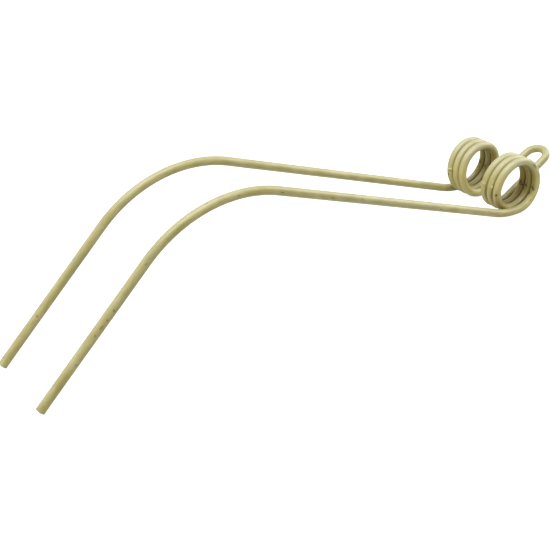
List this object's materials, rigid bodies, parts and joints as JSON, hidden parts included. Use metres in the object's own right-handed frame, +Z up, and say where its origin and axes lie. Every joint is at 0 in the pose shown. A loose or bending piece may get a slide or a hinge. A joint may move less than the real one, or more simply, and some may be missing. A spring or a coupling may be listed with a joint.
{
  "type": "hay rake spring tine",
  "caption": "Sprung hay rake tine bent from round wire: long arms with coils at their roots, joined by a narrow loop that bolts to the rake's bar.",
  "frame": {"origin": "on the axis of the two coils, midway between them", "axes": "+Y along the coils' axis, the arms reach towards -X and the loop towards +X, +Z up as the tine lies on the undersides of its coils and the cut ends of its arms"},
  "size_m": [0.6704, 0.0968, 0.1463],
  "materials": {
    "painted_wire": "soft gloss cream to olive yellow paint, chipped and scuffed at the coils"
  },
  "bodies": {
    "root": {"spring_tine": "painted_wire"}
  },
  "joints": []
}
